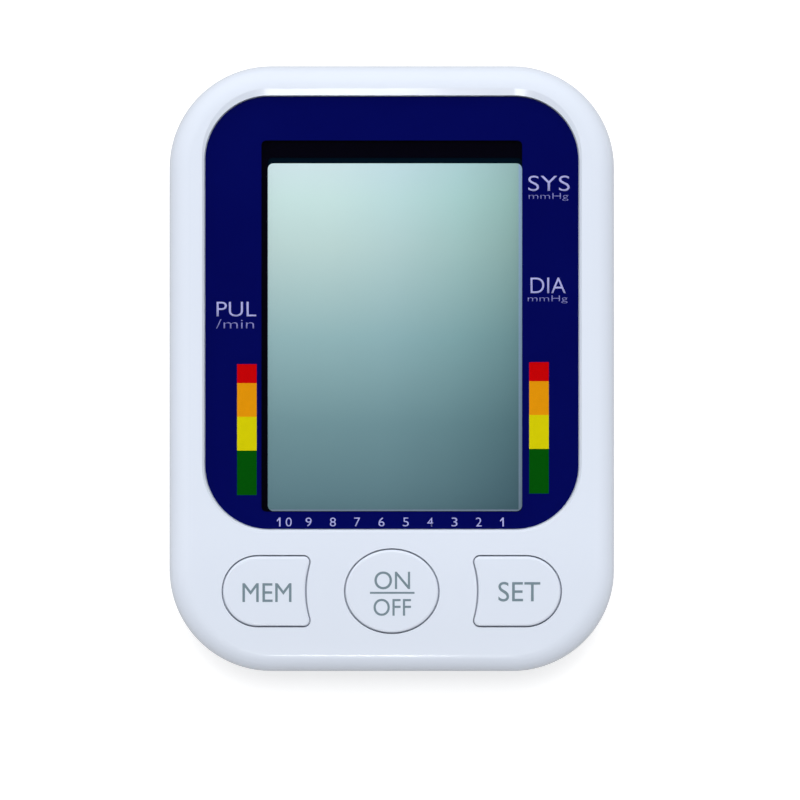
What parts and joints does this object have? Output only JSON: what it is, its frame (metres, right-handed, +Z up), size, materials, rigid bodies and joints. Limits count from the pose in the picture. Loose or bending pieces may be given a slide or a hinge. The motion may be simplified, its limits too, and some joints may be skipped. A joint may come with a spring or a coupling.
{
  "type": "upper arm blood pressure monitor",
  "caption": "Desktop blood pressure monitor unit: sloping wedge case, large window with display, keys below it, cell bay with hinged cover underneath, side socket for the cuff hose.",
  "frame": {"origin": "middle of the case over the table, at the undersides of the feet", "axes": "+Z up, +X to the user's right, +Y away from the user; the face slopes up towards +Y by 9 degrees"},
  "size_m": [0.1, 0.1372, 0.0519],
  "materials": {
    "white_gloss_plastic": "glossy moulded white",
    "white_plastic": "fine satin moulded white",
    "clear_window": "clear polished acrylic",
    "mask_ink": "screen printed deep blue",
    "adhesive": "thin double sided tape",
    "black_plastic": "black moulded plastic",
    "lcd_film": "grey green polarising film",
    "display_glass": "thin display glass",
    "grey_rubber": "soft grey rubber",
    "green_board": "green solder mask",
    "switch_stem": "plain moulded stem",
    "steel": "zinc plated",
    "nickel_strip": "nickel plated strip",
    "ferrite": "sintered ferrite",
    "cell_jacket": "plain printed sleeve",
    "grey_plastic": "grey moulded plastic",
    "silicone": "translucent silicone",
    "lead_wire": "insulated lead"
  },
  "bodies": {
    "root": {"aa_cell_1": "cell_jacket", "aa_cell_2": "cell_jacket", "aa_cell_3": "cell_jacket", "aa_cell_4": "cell_jacket", "air_manifold": "grey_plastic", "air_socket": "grey_plastic", "bleed_valve": "grey_rubber", "board_screws": "steel", "buzzer": "black_plastic", "capacitors": "black_plastic", "case_screws": "steel", "contact_springs": "steel", "controller_chip": "black_plastic", "dc_jack": "black_plastic", "display_window": "clear_window", "exhaust_valve": "black_plastic", "foot_1": "grey_rubber", "foot_2": "grey_rubber", "foot_3": "grey_rubber", "foot_4": "grey_rubber", "front_bridge": "nickel_strip", "front_housing": "white_gloss_plastic", "jack_pin": "steel", "lcd_frame": "black_plastic", "lcd_front_glass": "display_glass", "lcd_polarizer": "lcd_film", "lcd_rear_glass": "display_glass", "lcd_reflector": "lcd_film", "left_rear_bridge": "nickel_strip", "main_board": "green_board", "mem_switch": "black_plastic", "motor_leads": "lead_wire", "motor_magnets": "ferrite", "negative_contact": "nickel_strip", "positive_contact": "nickel_strip", "power_switch": "black_plastic", "pressure_sensor": "black_plastic", "pump_head": "black_plastic", "pump_hose": "silicone", "pump_motor": "steel", "pump_sleeve": "grey_rubber", "rear_housing": "white_plastic", "right_rear_bridge": "nickel_strip", "sensor_hose": "silicone", "set_switch": "black_plastic", "socket_hose": "silicone", "valve_leads": "lead_wire", "window_print": "mask_ink", "window_tape": "adhesive", "zebra_strip": "grey_rubber"},
    "mem_key_body": {"mem_key": "white_gloss_plastic", "mem_switch_plunger": "switch_stem"},
    "power_key_body": {"power_key": "white_gloss_plastic", "power_switch_plunger": "switch_stem"},
    "set_key_body": {"set_key": "white_gloss_plastic", "set_switch_plunger": "switch_stem"},
    "battery_cover_body": {"battery_cover": "white_plastic"},
    "pump_rotor_body": {"pump_rotor": "steel"},
    "valve_plunger_body": {"valve_plunger": "steel"}
  },
  "joints": [
    {"name": "mem_press", "type": "slide", "parent": "root", "child": "mem_key_body", "axis": [0, 0.1564, -0.9877], "range_m": [0, 0.0005], "stiffness_N_per_m": 1500},
    {"name": "power_press", "type": "slide", "parent": "root", "child": "power_key_body", "axis": [0, 0.1564, -0.9877], "range_m": [0, 0.0005], "stiffness_N_per_m": 1500},
    {"name": "set_press", "type": "slide", "parent": "root", "child": "set_key_body", "axis": [0, 0.1564, -0.9877], "range_m": [0, 0.0005], "stiffness_N_per_m": 1500},
    {"name": "battery_cover_swing", "type": "hinge", "parent": "root", "child": "battery_cover_body", "pos_m": [0, 0.00875, 0.0012], "axis": [1, 0, 0], "range_deg": [0, 70]},
    {"name": "pump_rotor_spin", "type": "hinge", "parent": "root", "child": "pump_rotor_body", "pos_m": [0.028, 0.038, 0.0185], "axis": [1, 0, 0], "continuous": true},
    {"name": "valve_plunger_drop", "type": "slide", "parent": "root", "child": "valve_plunger_body", "axis": [0, 0, -1], "range_m": [0, 0.001], "stiffness_N_per_m": 60, "springref_m": -0.0006}
  ]
}
